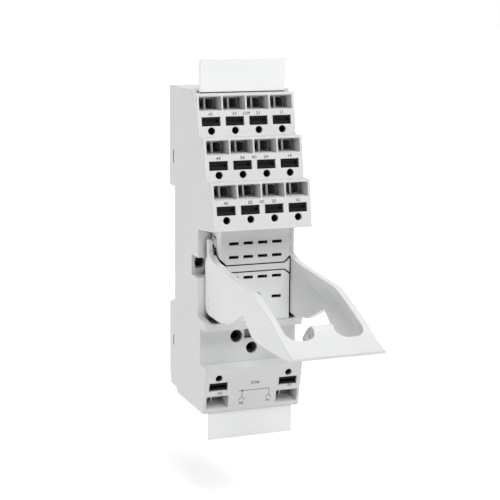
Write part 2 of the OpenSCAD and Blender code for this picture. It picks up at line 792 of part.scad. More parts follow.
module retaining_clip() {
    color(clip_color) {
        both_sides() {
            difference() {
                across(arm_t, clip_w / 2 - arm_t / 2)
                    arm_outline();
                // thinned part round the pivot
                translate([arm_x - 1, pivot_y, pivot_z])
                    rotate([0, 90, 0])
                        cylinder(h = 1 + thin_d, r = thin_r);
            }
            translate([arm_x - stub_l, pivot_y, pivot_z])
                rotate([0, 90, 0])
                    cylinder(h = stub_l + thin_d + eps, d = pivot_d);
        }
        finger_plate();
        // rolled hump in the middle of the plate
        across(hump_w)
            polygon([[-82.5, -11.7], [-80.9, -10.3], [-80.2, -9.4], [-79.8, -9.05], [-79.3, -8.9],
                [-78.5, -9.05], [-76.5, -10.2], [-74.6, -11.9], [-73.6, -13.2], [-73.5, -13.9],
                [-73.9, -14.5], [-74.7, -14.8], [-77, -14.1], [-80, -13.2], [-82.5, -13]]);
    }
}

// ---------- release buttons, springs and contacts ----------

module release_button(i) {
    w = button_w - 2 * button_gap;
    h = button_h - 2 * button_gap;
    color(button_color)
        at_terminal(i)
            translate([0, 0, -button_at])
                difference() {
                    union() {
                        along_y(button_set, front_wall + button_tail)
                            square([w, h], center = true);
                        // shoulder that keeps the button in
                        along_y(front_wall + 0.05, front_wall + 0.9)
                            square([w + 0.5, h + 0.5], center = true);
                    }
                    translate([0, 0, 0.15])
                        along_y(button_set - 1, button_set + tool_depth)
                            square([tool_w, tool_h], center = true);
                }
}

// height of a strip's clamping plate at the terminal
plate_drop = -0.85;

module clamp_spring(i) {
    r = term_row(i);
    back = strip_y[r] - strip_t / 2 - spring_t / 2;
    foot = spot(i, front_wall + 5.2, -9.9);
    foot_z = foot[1];
    tip = spot(i, front_wall + 6.6, plate_drop - 0.9);
    color(steel_color)
        difference() {
            bent_strip([
                [back, foot_z + up(i) * 2.4], [back, foot_z + up(i) * 0.5], [back - 0.5, foot_z],
                foot, spot(i, front_wall + 3.6, -9.4), spot(i, front_wall + 3.1, -8.4),
                spot(i, front_wall + 3.4, -6.8), spot(i, front_wall + 4.8, -4.6), tip],
                spring_t, clamp_w);
            // slit between its two legs
            translate([0, tip[0] - 4, tip[1] - up(i) * 1.5])
                cube([spring_slit, 12, 8], center = true);
        }
}

module contact_rail(i) {
    r = term_row(i);
    y = strip_y[r];
    z = blade_z[r];
    front = spot(i, front_wall + 0.8, plate_drop);
    far = spot(i, front_wall + 5, plate_drop);
    top = far[1] + (far[1] - front[1]) * (y - far[0]) / (far[0] - front[0]);
    jog = in_base(i) ? [-32, -29.5] : [jog_z + 2.2, jog_z - 0.3];
    color(copper_color)
        union() {
            translate([term_x(i), 0, 0])
                bent_strip([front, far, [y, top]], strip_t, clamp_w);
            // upright part with its step to the pole
            along_y(y - strip_t / 2, y + strip_t / 2)
                polygon(in_base(i)
                    ? upright(term_x(i), pole_x(i), jog, top - strip_t / 2, z)
                    : upright(term_x(i), pole_x(i), jog, top + strip_t / 2, z));
            // arm to the front
            box([pole_x(i) - strip_w / 2, block_back + 6.6, z - strip_t / 2],
                [pole_x(i) + strip_w / 2, y, z + strip_t / 2]);
            for (s = [-1, 1])
                bent_strip([[block_back + 7.4, z + s * (strip_t / 2 + 0.1)], [block_back + 5.4, z + s * 0.6],
                    [block_back + 1.4, z + s * (leaf_gap + leaf_t) / 2], [block_back + 0.3, z + s * 0.65]],
                    leaf_t, strip_w, pole_x(i));
        }
}

function upright(a, b, jog, top, z) = [
    [a - strip_w / 2, top], [a + strip_w / 2, top], [a + strip_w / 2, jog[0]],
    [b + strip_w / 2, jog[1]], [b + strip_w / 2, z], [b - strip_w / 2, z],
    [b - strip_w / 2, jog[1]], [a - strip_w / 2, jog[0]]];

module module_contact(port, d, x) {
    color(copper_color)
        difference() {
            union() {
                translate([port[0], strip_y[3] - strip_t / 2 - 0.6, port[1]])
                    rotate([90, 0, 0])
                        cylinder(h = strip_y[3] - strip_t / 2 - 0.6 - recess_y - port_lip, d = d - 0.2);
                box([min(port[0] - 1.5, x), strip_y[3] - strip_t / 2 - 0.61, port[1] - 1.2],
                    [max(port[0] + 1.5, x), strip_y[3] - strip_t / 2, port[1] + 1.2]);
            }
            translate([port[0], recess_y + 8, port[1]])
                rotate([90, 0, 0])
                    cylinder(h = 9, d = d - 1.2);
        }
}

module module_contact_1() { module_contact(port_1, port_1_d, pole_x(12) - strip_w / 2); }
module module_contact_2() { module_contact(port_2, port_2_d, pole_x(13) + strip_w / 2); }

module release_button_41() { release_button(0); }
module release_button_31() { release_button(1); }
module release_button_21() { release_button(2); }
module release_button_11() { release_button(3); }
module release_button_44() { release_button(4); }
module release_button_34() { release_button(5); }
module release_button_24() { release_button(6); }
module release_button_14() { release_button(7); }
module release_button_42() { release_button(8); }
module release_button_32() { release_button(9); }
module release_button_22() { release_button(10); }
module release_button_12() { release_button(11); }
module release_button_A2() { release_button(12); }
module release_button_A1() { release_button(13); }
module clamp_spring_41() { translate([term_x(0), 0, 0]) clamp_spring(0); }
module clamp_spring_31() { translate([term_x(1), 0, 0]) clamp_spring(1); }
module clamp_spring_21() { translate([term_x(2), 0, 0]) clamp_spring(2); }
module clamp_spring_11() { translate([term_x(3), 0, 0]) clamp_spring(3); }
module clamp_spring_44() { translate([term_x(4), 0, 0]) clamp_spring(4); }
module clamp_spring_34() { translate([term_x(5), 0, 0]) clamp_spring(5); }
module clamp_spring_24() { translate([term_x(6), 0, 0]) clamp_spring(6); }
module clamp_spring_14() { translate([term_x(7), 0, 0]) clamp_spring(7); }
module clamp_spring_42() { translate([term_x(8), 0, 0]) clamp_spring(8); }
module clamp_spring_32() { translate([term_x(9), 0, 0]) clamp_spring(9); }
module clamp_spring_22() { translate([term_x(10), 0, 0]) clamp_spring(10); }
module clamp_spring_12() { translate([term_x(11), 0, 0]) clamp_spring(11); }
module clamp_spring_A2() { translate([term_x(12), 0, 0]) clamp_spring(12); }
module clamp_spring_A1() { translate([term_x(13), 0, 0]) clamp_spring(13); }
module contact_rail_41() { contact_rail(0); }
module contact_rail_31() { contact_rail(1); }
module contact_rail_21() { contact_rail(2); }
module contact_rail_11() { contact_rail(3); }
module contact_rail_44() { contact_rail(4); }
module contact_rail_34() { contact_rail(5); }
module contact_rail_24() { contact_rail(6); }
module contact_rail_14() { contact_rail(7); }
module contact_rail_42() { contact_rail(8); }
module contact_rail_32() { contact_rail(9); }
module contact_rail_22() { contact_rail(10); }
module contact_rail_12() { contact_rail(11); }
module contact_rail_A2() { contact_rail(12); }
module contact_rail_A1() { contact_rail(13); }

housing();
rear_cover();
upper_contact_cover();
lower_contact_cover();
retaining_clip();
rail_latch();
latch_spring();
top_marker();
bottom_marker();
module_contact_1();
module_contact_2();
release_button_41();
release_button_31();
release_button_21();
release_button_11();
release_button_44();
release_button_34();
release_button_24();
release_button_14();
release_button_42();
release_button_32();
release_button_22();
release_button_12();
release_button_A2();
release_button_A1();
clamp_spring_41();
clamp_spring_31();
clamp_spring_21();
clamp_spring_11();
clamp_spring_44();
clamp_spring_34();
clamp_spring_24();
clamp_spring_14();
clamp_spring_42();
clamp_spring_32();
clamp_spring_22();
clamp_spring_12();
clamp_spring_A2();
clamp_spring_A1();
contact_rail_41();
contact_rail_31();
contact_rail_21();
contact_rail_11();
contact_rail_44();
contact_rail_34();
contact_rail_24();
contact_rail_14();
contact_rail_42();
contact_rail_32();
contact_rail_22();
contact_rail_12();
contact_rail_A2();
contact_rail_A1();
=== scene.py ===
"""Looks of a four-pole push-in relay socket: plastics, printed marks, moulded details and the stage.

Everything is in metres in the socket's own frame: X across, +Y towards the rail, Z up.
"""

import math

import bpy
from bpy.props import FloatProperty, FloatVectorProperty, StringProperty
from mathutils import Matrix, Vector


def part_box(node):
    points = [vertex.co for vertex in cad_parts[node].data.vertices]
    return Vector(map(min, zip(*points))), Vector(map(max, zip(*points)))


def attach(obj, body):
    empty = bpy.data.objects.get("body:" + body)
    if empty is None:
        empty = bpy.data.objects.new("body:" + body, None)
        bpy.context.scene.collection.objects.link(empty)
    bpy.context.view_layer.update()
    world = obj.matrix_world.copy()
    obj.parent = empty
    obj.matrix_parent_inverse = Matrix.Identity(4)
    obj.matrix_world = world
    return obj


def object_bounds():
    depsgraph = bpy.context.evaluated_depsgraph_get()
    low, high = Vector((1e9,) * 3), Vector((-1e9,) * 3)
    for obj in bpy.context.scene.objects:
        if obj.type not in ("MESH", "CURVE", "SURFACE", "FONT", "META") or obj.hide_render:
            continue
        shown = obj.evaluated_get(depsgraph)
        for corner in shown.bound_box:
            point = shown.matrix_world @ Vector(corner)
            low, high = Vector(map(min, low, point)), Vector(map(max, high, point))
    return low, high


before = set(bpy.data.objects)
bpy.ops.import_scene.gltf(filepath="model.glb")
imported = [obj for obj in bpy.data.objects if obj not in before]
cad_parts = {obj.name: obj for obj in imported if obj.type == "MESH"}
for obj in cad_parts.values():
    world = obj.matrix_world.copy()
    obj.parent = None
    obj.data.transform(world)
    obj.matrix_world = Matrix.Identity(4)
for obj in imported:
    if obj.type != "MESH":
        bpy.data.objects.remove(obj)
MM = 0.001
PAINTED_HOLE_SHADE = "#0B0B0C"  # painted shade: near-black painted on plastic and metal deep in a hole, where no light reaches
CAD_BOX = [list(corner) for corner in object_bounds()]

bl_info = {
    "name": "Push-in Relay Socket",
    "version": (1, 0, 0),
    "blender": (4, 5, 0),
    "location": "3D View > Sidebar > Relay Socket",
    "description": "Finishes, prints and small details for a rail-mounted relay socket",
    "category": "Object",
}


# ---------------------------------------------------------------- colours


def linear(hex_colour):
    """Turns an sRGB hex value into the linear colour that a shader reads."""
    channels = [int(hex_colour[i : i + 2], 16) / 255 for i in (1, 3, 5)]
    return [c / 12.92 if c <= 0.04045 else ((c + 0.055) / 1.055) ** 2.4 for c in channels] + [1.0]


# ---------------------------------------------------------------- settings


class BodySettings(bpy.types.PropertyGroup):
    """Colours and skin of the moulded parts"""

    shell_hex: StringProperty(name="Shell", description="Colour of the moulded shell", default="#DFE1DF")
    clip_hex: StringProperty(name="Clip", description="Colour of the retaining clip", default="#E9EBEA")
    marker_hex: StringProperty(
        name="Marker plates", description="Colour of the marker plates",
        default="#F6F7F7",
    )
    button_hex: StringProperty(
        name="Buttons", description="Colour of the release buttons",
        default="#0A0A0B",
    )
    edge: FloatProperty(
        name="Edge radius", description="Radius of the moulded edges",
        default=0.3 * MM, unit="LENGTH", precision=5,
    )
    grain: FloatProperty(
        name="Grain", description="Grain size of the spark-eroded mould",
        default=0.3 * MM, unit="LENGTH", precision=5,
    )


class MarkSettings(bpy.types.PropertyGroup):
    """Size and colour of the printed marks"""

    ink_hex: StringProperty(name="Ink", description="Colour of the printed marks", default="#27292C")
    letter: FloatProperty(
        name="Letter height", description="Height of the terminal numbers",
        default=0.84 * MM, unit="LENGTH", precision=5,
    )
    weight: FloatProperty(
        name="Letter weight", description="How much bolder the letters are than the plain font",
        default=0.035 * MM, unit="LENGTH", precision=6,
    )
    line: FloatProperty(
        name="Line width", description="Width of the printed lines",
        default=0.16 * MM, unit="LENGTH", precision=5,
    )
    rise: FloatProperty(
        name="Rise", description="Middle of a number over the top of its button",
        default=0.95 * MM, unit="LENGTH", precision=5,
    )
    wide: FloatProperty(
        name="Number width", description="Width of a number over the plain font's",
        default=1.1, subtype="FACTOR",
    )
    narrow: FloatProperty(
        name="Word width", description="Width of a row's word over the plain font's",
        default=0.75, subtype="FACTOR",
    )
    film: FloatProperty(
        name="Ink film", description="How far the print stands on the plastic",
        default=0.02 * MM, unit="LENGTH", precision=6,
    )


class DetailSettings(bpy.types.PropertyGroup):
    """Sizes of the small moulded details"""

    proud: FloatProperty(
        name="Mark height", description="How far a mould mark stands on the face",
        default=0.06 * MM, unit="LENGTH", precision=6,
    )
    vent: FloatProperty(
        name="Vent radius", description="Radius of a vent's mark",
        default=0.2 * MM, unit="LENGTH", precision=5,
    )
    pip: FloatProperty(
        name="Pip radius", description="Radius of the ejector pip",
        default=0.4 * MM, unit="LENGTH", precision=5,
    )
    arm: FloatProperty(
        name="Arm wall", description="Wall of the clip's arm",
        default=1.9 * MM, unit="LENGTH", precision=5,
    )
    hump: FloatProperty(
        name="Hump width", description="Width of the clip's hump",
        default=6 * MM, unit="LENGTH",
    )
    wall: FloatProperty(
        name="Hump wall", description="Wall of the rolled hump",
        default=0.5 * MM, unit="LENGTH", precision=5,
    )


class StageSettings(bpy.types.PropertyGroup):
    """Camera, floor and lamps"""

    eye: FloatVectorProperty(
        name="Camera", description="Place of the camera",
        default=(-156.76 * MM, -429.84 * MM, 86.46 * MM), unit="LENGTH", size=3,
    )
    yaw: FloatProperty(
        name="Yaw", description="Turn of the view to the right",
        default=math.radians(21.18), unit="ROTATION",
    )
    pitch: FloatProperty(
        name="Pitch", description="Tilt of the view downwards",
        default=math.radians(11.07), unit="ROTATION",
    )
    roll: FloatProperty(
        name="Roll", description="Roll of the camera",
        default=math.radians(0.50), unit="ROTATION",
    )
    lens: FloatProperty(
        name="Lens", description="Focal length on a 36 mm sensor, in mm",
        default=106.0, unit="CAMERA",
    )
    drop: FloatProperty(
        name="Floor drop", description="Height of the object over the floor",
        default=25 * MM, unit="LENGTH",
    )
    lift: FloatProperty(
        name="Floor glow", description="Light that lifts the floor under the object to white",
        default=0.55, subtype="FACTOR",
    )
    reach: FloatProperty(
        name="Lit floor", description="Distance over which the lamps light the floor",
        default=450 * MM, unit="LENGTH",
    )
    key: FloatProperty(
        name="Key light", description="Strength of the soft box over the front",
        default=4.35, unit="POWER",
    )
    front: FloatProperty(
        name="Front light", description="Strength of the soft box straight in front",
        default=0.8, unit="POWER",
    )
    back: FloatProperty(
        name="Back light", description="Strength of the soft box over the back",
        default=1.5, unit="POWER",
    )
    left: FloatProperty(
        name="Side light", description="Strength of the low soft box on the left",
        default=2.35, unit="POWER",
    )
    sky: FloatProperty(
        name="Room light", description="Strength of the even light all round",
        default=0.09, subtype="FACTOR",
    )


# ---------------------------------------------------------------- nodes and materials


def add(tree, kind, inputs=None, **settings):
    """Adds a node with its settings; inputs maps a socket to a value or to another node's output."""
    node = tree.nodes.new(kind)
    for key, value in settings.items():
        setattr(node, key, value)
    for key, value in (inputs or {}).items():
        if isinstance(value, bpy.types.NodeSocket):
            tree.links.new(value, node.inputs[key])
        else:
            node.inputs[key].default_value = value
    return node


def new_material(name, slot_values):
    """A material with an empty Principled shader whose own sockets hold the given values."""
    material = bpy.data.materials.new(name)
    material.use_nodes = True
    tree = material.node_tree
    shader = tree.nodes["Principled BSDF"]
    for key, value in slot_values.items():
        shader.inputs[key].default_value = value
    return material, tree, shader


COLOUR_A, COLOUR_B, COLOUR_OUT = 6, 7, 2  # a Mix node's sockets for two colours and their blend
FLOW = 22 * MM  # length of the faint flow marks in a moulding
CLOUDS = 3 * MM  # size of the patches where a moulding is a little duller
MOST_NOISE = {"From Min": 0.3, "From Max": 0.7}  # nearly all values of a noise lie between these

# painted shade: how light a surface's colour stays for how open the space in front of it is
HOLES = ((0.0, 0.0), (0.17, 0.03), (0.3, 0.38), (0.46, 1.0))
INSIDE = ((0.0, 0.0), (0.08, 0.04), (0.2, 0.5), (0.35, 1.0))


def painted_hole_shade(tree, reach, levels):
    """Painted shade for holes: the colour stays full where the space in front is open and goes dark where walls
    stand all round it.
    """
    hollow = add(tree, "ShaderNodeAmbientOcclusion", {"Distance": reach}, samples=12)
    ramp = add(tree, "ShaderNodeValToRGB", {"Fac": hollow.outputs["AO"]})
    elements = ramp.color_ramp.elements
    while len(elements) < len(levels):
        elements.new(0.5)
    for element, (at, level) in zip(elements, levels):
        element.position = at
        element.color = (level, level, level, 1)
    return ramp.outputs["Color"]


def moulded(name, hex_colour, roughness, grain, depth, edge, levels=HOLES, gloss=0.5):
    """Injection-moulded thermoplastic: pits of a grain and depth, faint flow marks, soft edges, and painted
    shade that darkens the colour to near-black in holes.
    """
    material, tree, shader = new_material(name, {"IOR": 1.5, "Specular IOR Level": gloss})
    place = add(tree, "ShaderNodeTexCoord").outputs["Object"]
    flow = add(tree, "ShaderNodeTexNoise", {"Vector": place, "Scale": 1 / FLOW, "Detail": 2.0})
    spread = {**MOST_NOISE, "To Min": 0.965, "To Max": 1.0}
    tone = add(tree, "ShaderNodeMapRange", {"Value": flow.outputs["Fac"], **spread})
    # painted shade: 4 mm reaches across the holes and slits, but not across a wire entry
    hole_shade = painted_hole_shade(tree, 4 * MM, levels)
    painted_shade_level = add(tree, "ShaderNodeMath", {0: hole_shade, 1: tone.outputs["Result"]}, operation="MULTIPLY")
    shades = {0: painted_shade_level.outputs[0], COLOUR_A: linear(PAINTED_HOLE_SHADE), COLOUR_B: linear(hex_colour)}
    colour = add(tree, "ShaderNodeMix", shades, data_type="RGBA")
    tree.links.new(colour.outputs[COLOUR_OUT], shader.inputs["Base Color"])
    cloud = add(tree, "ShaderNodeTexNoise", {"Vector": place, "Scale": 1 / CLOUDS, "Detail": 3.0})
    spread = {**MOST_NOISE, "To Min": roughness - 0.04, "To Max": roughness + 0.04}
    sheen = add(tree, "ShaderNodeMapRange", {"Value": cloud.outputs["Fac"], **spread})
    tree.links.new(sheen.outputs["Result"], shader.inputs["Roughness"])
    rounded = add(tree, "ShaderNodeBevel", {"Radius": edge}, samples=6)
    pits = add(
        tree, "ShaderNodeTexNoise",
        {"Vector": place, "Scale": 1 / grain, "Detail": 2.0, "Roughness": 0.6},
    )
    raised = {"Strength": 0.35, "Distance": depth, "Height": pits.outputs["Fac"]}
    bump = add(tree, "ShaderNodeBump", {**raised, "Normal": rounded.outputs["Normal"]})
    tree.links.new(bump.outputs["Normal"], shader.inputs["Normal"])
    return material


def polyamide_shell(s):
    """Glass-filled polyamide, moulded in a spark-eroded tool: matt, light grey, with soft edges."""
    return moulded("polyamide_moulded_light_grey", s.shell_hex, 0.58, s.grain, 0.012 * MM, s.edge)


def polyamide_clip(s):
    """Unfilled polyamide from a smoother tool: a little whiter and glossier than the shell."""
    return moulded("polyamide_moulded_satin_white", s.clip_hex, 0.42, s.grain * 2, 0.008 * MM, s.edge)


def marker_plastic(s):
    """Polycarbonate marker stock: smooth and nearly white."""
    return moulded("polycarbonate_moulded_white", s.marker_hex, 0.5, s.grain * 2, 0.005 * MM, s.edge)


def grey_for_marks_and_shade(s):
    """Rougher and darker grey than the moulded skin, for the clip's small vent and gate marks; on the cross at
    the hump's end it is painted shade.
    """
    return moulded("polyamide_grey_marks_and_painted_shade", "#8E908F", 0.7, s.grain, 0.02 * MM, s.edge * 0.3)


def button_plastic(s):
    """Black polyamide: mould polish gives the buttons' edges small glints."""
    name = "polyamide_moulded_black"
    return moulded(name, s.button_hex, 0.38, s.grain, 0.02 * MM, s.edge * 0.6, INSIDE, 0.16)


def strip_metal(name, hex_colour, roughness, grain):
    """Cold-rolled strip: metallic, with fine rolling lines along its length, and painted shade that darkens it
    deep in the shell.
    """
    material, tree, shader = new_material(name, {"Metallic": 1.0})
    # painted shade: strips lie deep in the closed shell, so their colour is darkened; 14 mm reaches across the
    # whole of a terminal's chamber
    painted_shade_level = painted_hole_shade(tree, 14 * MM, INSIDE)
    shades = {0: painted_shade_level, COLOUR_A: linear(PAINTED_HOLE_SHADE), COLOUR_B: linear(hex_colour)}
    colour = add(tree, "ShaderNodeMix", shades, data_type="RGBA")
    tree.links.new(colour.outputs[COLOUR_OUT], shader.inputs["Base Color"])
    place = add(tree, "ShaderNodeTexCoord").outputs["Object"]
    drawn = add(tree, "ShaderNodeMapping", {"Vector": place, "Scale": (1.0, 1.0, 0.08)})
    lines = add(
        tree, "ShaderNodeTexNoise",
        {"Vector": drawn.outputs["Vector"], "Scale": 1 / grain, "Detail": 3.0},
    )
    spread = {**MOST_NOISE, "To Min": roughness - 0.08, "To Max": roughness + 0.08}
    sheen = add(tree, "ShaderNodeMapRange", {"Value": lines.outputs["Fac"], **spread})
    tree.links.new(sheen.outputs["Result"], shader.inputs["Roughness"])
    bump = add(
        tree, "ShaderNodeBump",
        {"Strength": 0.2, "Distance": 0.005 * MM, "Height": lines.outputs["Fac"]},
    )
    tree.links.new(bump.outputs["Normal"], shader.inputs["Normal"])
    return material


def tinned_copper():
    """Tin-plated copper alloy strip, stamped and bent."""
    return strip_metal("copper_alloy_stamped_tinned", "#A7A69F", 0.36, 0.15 * MM)


def sleeve_grey_with_shade():
    """Drawn contact sleeve with a tin coat, its colour darkened to a dull grey as painted shade for the deep
    port it sits in.
    """
    # painted shade: #4C4D4F is darker than the tin's own grey
    return strip_metal("copper_alloy_tinned_painted_shade_grey", "#4C4D4F", 0.34, 0.15 * MM)


def spring_steel():
    """Bright cold-rolled stainless spring strip."""
    return strip_metal("stainless_spring_strip", "#B4B6BA", 0.28, 0.12 * MM)


def pad_ink(hex_colour):
    """Pad-printed ink: dull, dark grey, with slightly uneven cover."""
    material, tree, shader = new_material("ink_pad_printed_grey", {"Roughness": 0.7, "IOR": 1.45})
    place = add(tree, "ShaderNodeTexCoord").outputs["Object"]
    cover = add(tree, "ShaderNodeTexNoise", {"Vector": place, "Scale": 1 / (0.4 * MM), "Detail": 2.0})
    shades = {0: cover.outputs["Fac"], COLOUR_A: linear(hex_colour), COLOUR_B: linear("#6A6C6F")}
    colour = add(tree, "ShaderNodeMix", shades, data_type="RGBA")
    tree.links.new(colour.outputs[COLOUR_OUT], shader.inputs["Base Color"])
    return material


def seen_directly(tree):
    """1 for what the camera sees, in shiny and clear surfaces too; 0 for light on the object."""
    path = add(tree, "ShaderNodeLightPath").outputs
    seen = {0: path["Is Camera Ray"], 1: path["Is Glossy Ray"]}
    first = add(tree, "ShaderNodeMath", seen, operation="ADD")
    through = {0: first.outputs[0], 1: path["Is Transmission Ray"]}
    return add(tree, "ShaderNodeMath", through, operation="ADD", use_clamp=True).outputs[0]


def finish_with(obj, material):
    """Gives a whole piece one material."""
    obj.data.materials.clear()
    obj.data.materials.append(material)


def nodes_named(*starts):
    """The solids whose names start with one of these words."""
    return [obj for name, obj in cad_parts.items() if name.startswith(starts)]


# ---------------------------------------------------------------- faces of the socket


def outward_face(node, low, high):
    """Outward normal and offset of a solid's largest flat front face between two heights."""
    groups = {}
    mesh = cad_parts[node].data
    for face in mesh.polygons:
        normal = face.normal
        if normal.y < -0.9 and low < face.center.z < high:
            key = (round(normal.y, 3), round(normal.z, 3), round(normal.dot(face.center), 5))
            groups[key] = groups.get(key, 0.0) + face.area
    best = max(groups, key=groups.get)
    normal = Vector((0, best[0], best[1])).normalized()
    return normal, best[2]


def face_matrix(node, low, high, x, z, film):
    """Matrix that lays a flat XY drawing on that face, with its middle at the given X and Z."""
    normal, offset = outward_face(node, low, high)
    y = (offset - normal.z * z) / normal.y
    upward = Vector((1, 0, 0)).cross(normal) * -1
    turn = Matrix((Vector((1, 0, 0)), upward, normal)).transposed().to_4x4()
    return Matrix.Translation(Vector((x, y, z)) + normal * film) @ turn


# ---------------------------------------------------------------- modelling helpers


CAPITAL_SHARE = 0.69  # height of the font's capitals and digits over its size
LETTER_SPACING = 1.08  # the words are set a little wider than the font


def deselect():
    """Clears the selection, so that the next operator acts on the new piece alone."""
    bpy.ops.object.select_all(action="DESELECT")


def bake_place(obj, matrix):
    """Moves the mesh, so that the object itself stays at the origin."""
    obj.data.transform(matrix @ obj.matrix_basis)
    obj.matrix_basis = Matrix.Identity(4)
    obj.data.update()


def printed_word(name, words, height, matrix, material, weight, stretch=1.0):
    """A printed word on a face: flat text, made a mesh before it is placed."""
    deselect()
    bpy.ops.object.text_add(location=(0, 0, 0))
    obj = bpy.context.object
    obj.name = name
    obj.data.body = words
    obj.data.size = height / CAPITAL_SHARE
    obj.data.align_x = "CENTER"
    obj.data.align_y = "CENTER"
    obj.data.resolution_u = 3
    obj.data.space_character = LETTER_SPACING
    obj.data.offset = weight
    bpy.ops.object.convert(target="MESH")
    obj = bpy.context.object
    bake_place(obj, matrix @ Matrix.Diagonal((stretch, 1, 1, 1)))
    finish_with(obj, material)
    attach(obj, "socket")


def printed_line(name, points, width, matrix, material):
    """A printed line on a face, through points in millimetres: a strip for each run, joined as one mesh."""
    deselect()
    bpy.ops.mesh.primitive_plane_add(size=width, location=(0, 0, 0))
    obj = bpy.context.object
    obj.name = name
    pieces = []
    for start, end in zip(points, points[1:]):
        run = (Vector(end) - Vector(start)) * MM
        copy = obj.copy()
        copy.data = obj.data.copy()
        bpy.context.collection.objects.link(copy)
        length = run.length + width
        middle = (Vector(start) + Vector(end)) / 2 * MM
        turn = Matrix.Rotation(math.atan2(run.y, run.x), 4, "Z")
        stretch = Matrix.Diagonal((length / width, 1, 1, 1))
        copy.data.transform(Matrix.Translation(middle.to_3d()) @ turn @ stretch)
        pieces.append(copy)
    bpy.data.objects.remove(obj)
    deselect()
    for piece in pieces:
        piece.select_set(True)
    bpy.context.view_layer.objects.active = pieces[0]
    if len(pieces) > 1:
        bpy.ops.object.join()
    line = bpy.context.object
    line.name = name
    bake_place(line, matrix)
    finish_with(line, material)
    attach(line, "socket")


def soften_and_place(obj, name, bevel, matrix, material):
    """Names a new low mark, softens its edges in edit mode and lays it on its face."""
    obj.name = name
    bpy.ops.object.mode_set(mode="EDIT")
    bpy.ops.mesh.select_all(action="SELECT")
    bpy.ops.mesh.bevel(offset=bevel, segments=2)
    bpy.ops.object.mode_set(mode="OBJECT")
    bake_place(obj, matrix)
    finish_with(obj, material)


def shallow_bar(name, length, width, height, matrix, material):
    """A low bar with softened edges on a face, its length along the face's X; it moves with the clip."""
    deselect()
    bpy.ops.mesh.primitive_cube_add(size=1, location=(0, 0, 0))
    obj = bpy.context.object
    obj.data.transform(Matrix.Diagonal((length, width, height, 1)))
    soften_and_place(obj, name, min(width, height) * 0.3, matrix, material)
    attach(obj, "clip")
    return obj


def shallow_pip(name, radius, height, matrix, material):
    """A low round pip with softened edges on a face; it moves with the clip."""
    deselect()
    bpy.ops.mesh.primitive_cylinder_add(vertices=24, radius=radius, depth=height, location=(0, 0, 0))
    obj = bpy.context.object
    soften_and_place(obj, name, height * 0.35, matrix, material)
    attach(obj, "clip")


def on_side(x, y, z, along=0.0):
    """Matrix that lays a flat drawing on a face that looks left, turned by an angle in that face."""
    across = Matrix(((0, 0, -1, 0), (-1, 0, 0, 0), (0, 1, 0, 0), (0, 0, 0, 1)))
    return Matrix.Translation(Vector((x, y, z))) @ across @ Matrix.Rotation(along, 4, "Z")


# ---------------------------------------------------------------- operators


class SOCKET_OT_finishes(bpy.types.Operator):
    """Gives every part of the socket its material"""

    bl_idname = "socket.finishes"
    bl_label = "Finishes"

    def execute(self, context):
        s = context.scene.socket_body
        shell, clip = polyamide_shell(s), polyamide_clip(s)
        copper, steel = tinned_copper(), spring_steel()
        for obj in nodes_named("housing", "rear_cover", "upper_contact", "lower_contact", "rail_latch"):
            finish_with(obj, shell)
        for obj in nodes_named("retaining_clip"):
            finish_with(obj, clip)
        marker = marker_plastic(s)
        for obj in nodes_named("top_marker", "bottom_marker"):
            finish_with(obj, marker)
        black = button_plastic(s)
        for obj in nodes_named("release_button"):
            finish_with(obj, black)
        for obj in nodes_named("contact_rail"):
            finish_with(obj, copper)
        sleeve = sleeve_grey_with_shade()
        for obj in nodes_named("module_contact"):
            finish_with(obj, sleeve)
        for obj in nodes_named("clamp_spring", "latch_spring"):
            finish_with(obj, steel)
        return {"FINISHED"}


class SOCKET_OT_marks(bpy.types.Operator):
    """Prints the terminal numbers and the coil's small diagram"""

    bl_idname = "socket.marks"
    bl_label = "Printed marks"

    def execute(self, context):
        s = context.scene.socket_marks
        ink = pad_ink(s.ink_hex)
        rows = (("41", "31", "21", "11"), ("44", "34", "24", "14"), ("42", "32", "22", "12"))
        for numbers, group in zip(rows, ("COM", "NO", "NC")):
            top = max(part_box("release_button_" + n)[1].z for n in numbers)
            z = top + s.rise
            columns = [sum(c.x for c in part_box("release_button_" + n)) / 2 for n in numbers]
            for n, x in zip(numbers, columns):
                at = self.on_row(x, z, s.film)
                printed_word("mark_" + n, n, s.letter, at, ink, s.weight, s.wide)
            at = self.on_row((columns[1] + columns[2]) / 2, z, s.film)
            printed_word("mark_" + group, group, s.letter, at, ink, s.weight, s.narrow)
        self.base_marks(s, ink)
        return {"FINISHED"}

    def on_row(self, x, z, film):
        """Place on the front face of the terminal row that has the height Z."""
        half_row = 3 * MM
        return face_matrix("housing", z - half_row, z + half_row, x, z, film)

    def base_marks(self, s, ink):
        """The coil's terminals and small diagram, at X and Z in millimetres on the base block's face."""
        foot, top = -46 * MM, -34 * MM

        def on_base(x, z):
            return face_matrix("housing", foot, top, x * MM, z * MM, s.film)

        for name, words, x, z in (
            ("A2", "A2", -10.6, -41.1), ("A1", "A1", 12.1, -40.6), ("COIL", "COIL", 0.6, -38.6),
            ("small_A2", "A2", -3.5, -45.05), ("small_A1", "A1", 5.2, -44.9),
        ):
            printed_word("mark_" + name, words, s.letter, on_base(x, z), ink, s.weight)
        # the diagram: a line with a drop and a fork at each end, and a dot at the left joint
        at = on_base(0, -41)
        line_z, fork_z, tip_z, half_fork = 0.05, -2.0, -3.1, 0.95
        left, right = -3.4, 5.3
        printed_line("mark_coil_line", ((-4.6, line_z), (5.4, line_z)), s.line, at, ink)
        for name, x in (("left", left), ("right", right)):
            printed_line("mark_drop_" + name, ((x, line_z), (x, fork_z)), s.line, at, ink)
            fork = ((x - half_fork, tip_z), (x, fork_z), (x + half_fork, tip_z))
            printed_line("mark_fork_" + name, fork, s.line, at, ink)
        deselect()
        dot_radius, over_line = 0.3 * MM, 0.005 * MM
        bpy.ops.mesh.primitive_circle_add(
            vertices=20, radius=dot_radius, fill_type="NGON", location=(0, 0, 0)
        )
        dot = bpy.context.object
        dot.name = "mark_coil_dot"
        bake_place(dot, at @ Matrix.Translation((left * MM, line_z * MM, over_line)))
        finish_with(dot, ink)
        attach(dot, "socket")


